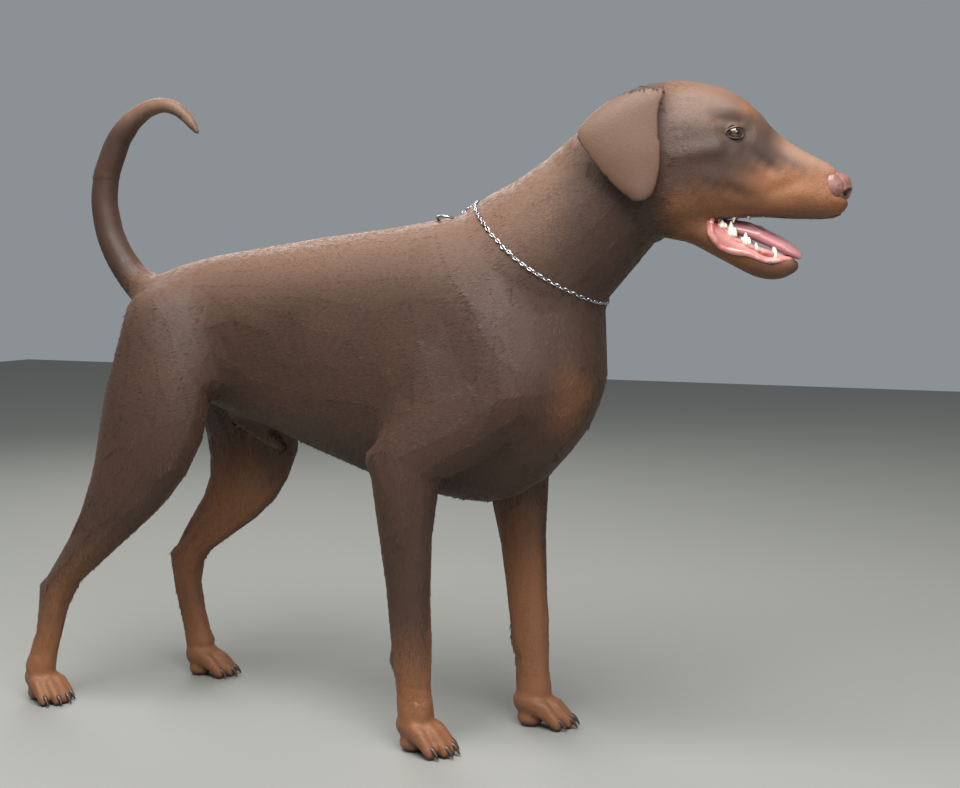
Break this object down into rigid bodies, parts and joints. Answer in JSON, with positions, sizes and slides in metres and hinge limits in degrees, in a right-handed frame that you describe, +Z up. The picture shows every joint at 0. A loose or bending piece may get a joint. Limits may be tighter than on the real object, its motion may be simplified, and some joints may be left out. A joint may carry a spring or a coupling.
{
  "type": "doberman pinscher",
  "caption": "Standing adult dog with a smooth chocolate and rust coat, folded ears, a raised curved tail, an open mouth and a slip chain round the neck.",
  "frame": {"origin": "middle of the bounding box, on the floor under the paws", "axes": "+X towards the head, along the animal's length; +Y to its left; +Z up"},
  "size_m": [1.1854, 0.2878, 0.8975],
  "materials": {
    "coat": "short glossy hair, chocolate with rust points",
    "nose_leather": "fine-grained, slightly moist",
    "tongue": "moist",
    "eye": "wet gloss",
    "chain": "polished"
  },
  "bodies": {
    "root": {"collar_chain": "chain", "collar_end": "chain", "collar_ring": "chain", "neck": "coat", "tail_base": "coat", "tail_mid": "coat", "tail_tip": "coat", "thigh_right": "coat", "hindleg_right": "coat", "hindpaw_right": "coat", "foreleg_right": "coat", "forepaw_right": "coat", "thigh_left": "coat", "hindleg_left": "coat", "hindpaw_left": "coat", "foreleg_left": "coat", "forepaw_left": "coat", "torso": "coat", "ear_right": "coat", "eye_right": "eye", "ear_left": "coat", "eye_left": "eye", "head": "coat", "lower_jaw": "coat", "nose": "nose_leather", "tongue": "tongue"}
  },
  "joints": []
}
